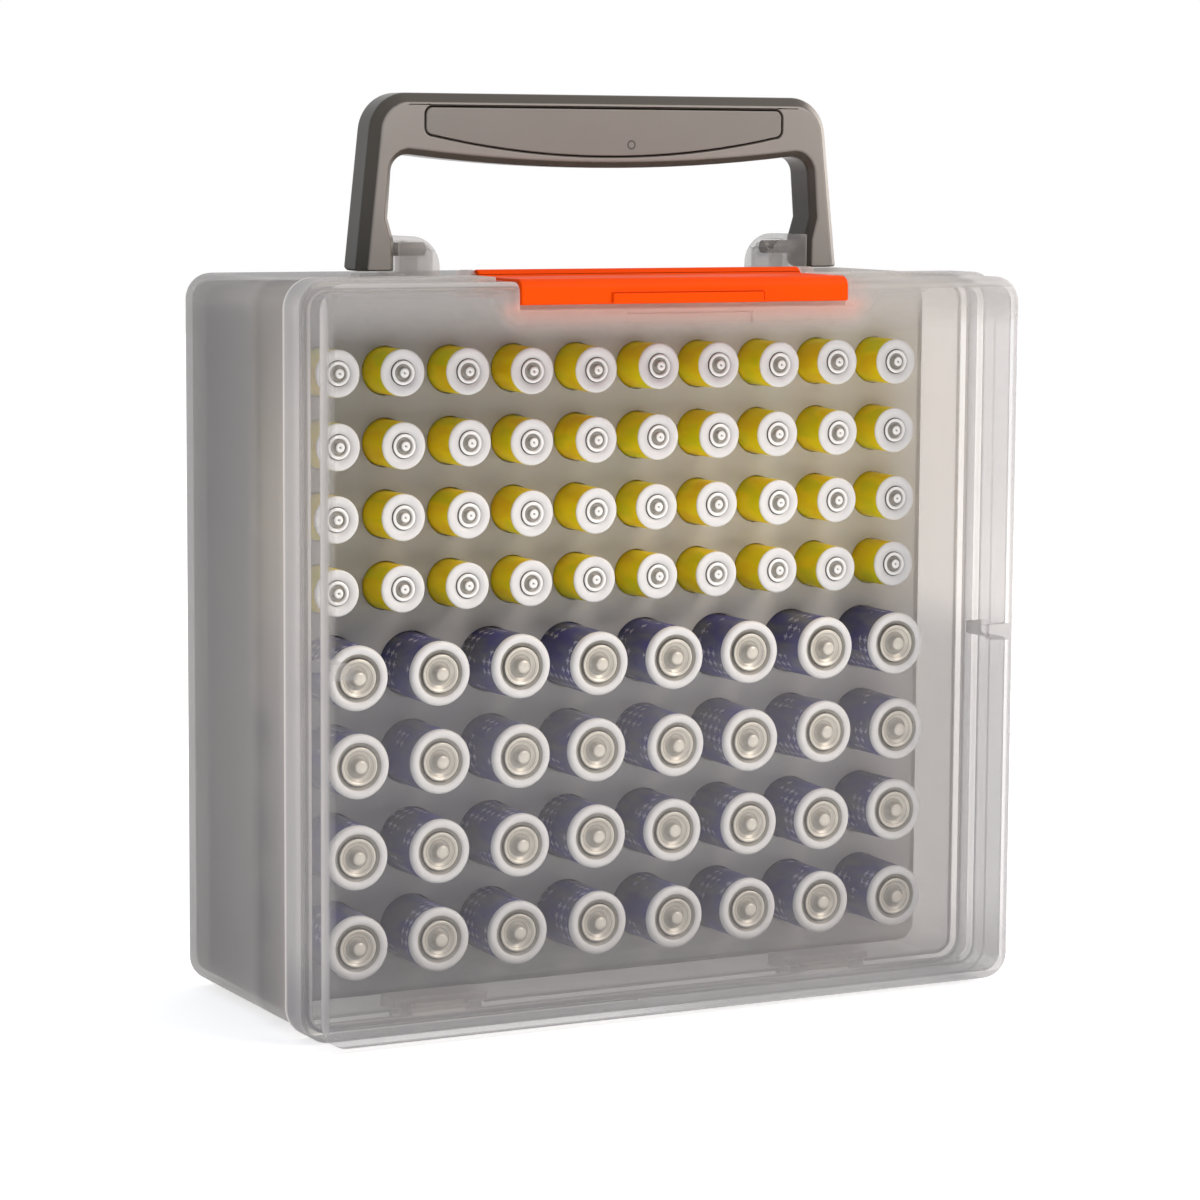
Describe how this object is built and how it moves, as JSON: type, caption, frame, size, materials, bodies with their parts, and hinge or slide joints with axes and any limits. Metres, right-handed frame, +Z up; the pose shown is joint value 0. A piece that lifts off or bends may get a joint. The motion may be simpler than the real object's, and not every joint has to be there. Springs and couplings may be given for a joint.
{
  "type": "battery carry case",
  "caption": "Translucent plastic carry case with a hinged front lid, snap latch and folding bail handle, holding rows of AAA and AA cells in a socket tray, with their terminals towards the lid.",
  "frame": {"origin": "centre of the case's footprint, at the lowest point of the lid's rim; z runs up through the handle", "axes": "+X to the right seen from the lid side, +Y from the lid to the back of the case, +Z up towards the handle"},
  "size_m": [0.176, 0.0822, 0.2057],
  "materials": {
    "translucent_shell": "satin moulded polypropylene, translucent",
    "translucent_tray": "satin moulded polypropylene, translucent",
    "orange_latch": "semi-gloss moulded",
    "grey_handle": "fine satin moulded",
    "grey_panel": "fine satin moulded",
    "aaa_cell": "printed sleeve over a nickel-plated steel can",
    "aa_cell": "printed sleeve over a nickel-plated steel can",
    "steel_pin": "drawn wire",
    "pivot_pin": "satin moulded"
  },
  "bodies": {
    "base": {"base_shell": "translucent_shell", "socket_plate": "translucent_tray", "tray_floor": "translucent_tray", "aaa_cells_row_1": "aaa_cell", "aaa_cells_row_2": "aaa_cell", "aaa_cells_row_3": "aaa_cell", "aaa_cells_row_4": "aaa_cell", "aa_cells_row_1": "aa_cell", "aa_cells_row_2": "aa_cell", "aa_cells_row_3": "aa_cell", "aa_cells_row_4": "aa_cell", "lid_hinge_pin_left": "steel_pin", "lid_hinge_pin_right": "steel_pin", "latch_pin": "steel_pin", "handle_pivot_pin_left": "pivot_pin", "handle_pivot_pin_right": "pivot_pin"},
    "lid": {"lid_shell": "translucent_shell"},
    "latch": {"latch": "orange_latch"},
    "handle": {"handle_frame": "grey_handle", "grip_panel": "grey_panel"}
  },
  "joints": [
    {"name": "lid_hinge", "type": "hinge", "parent": "base", "child": "lid", "pos_m": [0, -0.01665, 0.002], "axis": [1, 0, 0], "range_deg": [0, 110]},
    {"name": "latch_hinge", "type": "hinge", "parent": "base", "child": "latch", "pos_m": [0, -0.01725, 0.1648], "axis": [-1, 0, 0], "range_deg": [0, 100]},
    {"name": "handle_pivot", "type": "hinge", "parent": "base", "child": "handle", "pos_m": [0, 0.00385, 0.171], "axis": [-1, 0, 0], "range_deg": [0, 90]}
  ]
}
